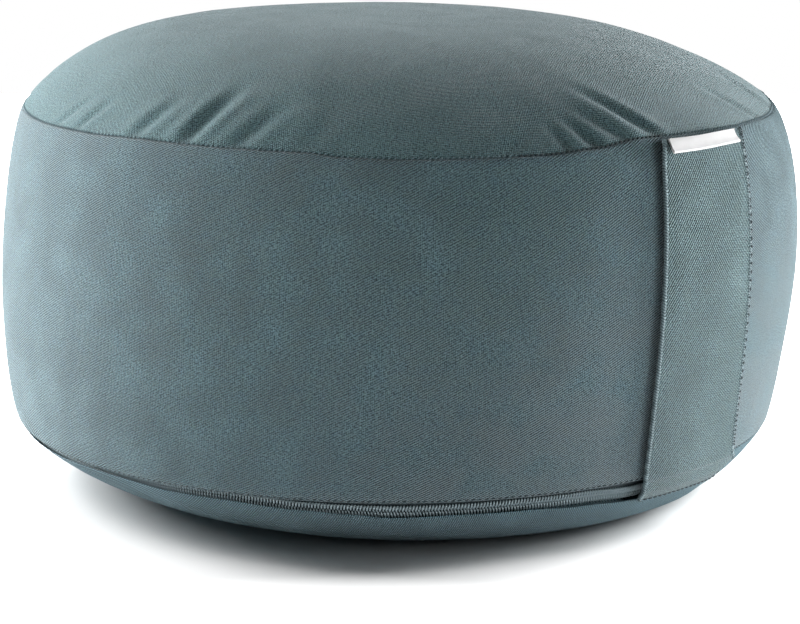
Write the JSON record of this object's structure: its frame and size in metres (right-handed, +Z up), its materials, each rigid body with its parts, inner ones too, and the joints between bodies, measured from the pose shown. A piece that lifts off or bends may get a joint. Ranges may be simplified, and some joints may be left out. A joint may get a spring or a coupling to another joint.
{
  "type": "round meditation cushion",
  "caption": "Round filled meditation cushion (zafu): crowned top and bottom panels on a bulging band, a carrying strap down one side, a coil zip in the lower seam and a blank sewn-in label.",
  "frame": {"origin": "middle of the flat patch on which the cushion rests, under the middle of its widest round", "axes": "+Z up out of the seat; the front faces -Y, with the strap a little to its right; +X to the right of the front"},
  "size_m": [0.33, 0.3294, 0.19],
  "materials": {
    "cover_cloth": "teal-grey cotton twill, matt with a soft nap",
    "strap_cloth": "the same twill folded and edge-stitched, its weave running along the strap",
    "zip_tape": "dark teal woven tape",
    "zip_plastic": "teal nylon coil, semi-matt",
    "label_ribbon": "white woven ribbon, folded, left blank"
  },
  "bodies": {
    "root": {"cushion": "cover_cloth", "strap": "strap_cloth", "zip_tape_upper": "zip_tape", "zip_tape_lower": "zip_tape", "zip_coil_upper": "zip_plastic", "zip_coil_lower": "zip_plastic", "label": "label_ribbon"}
  },
  "joints": []
}
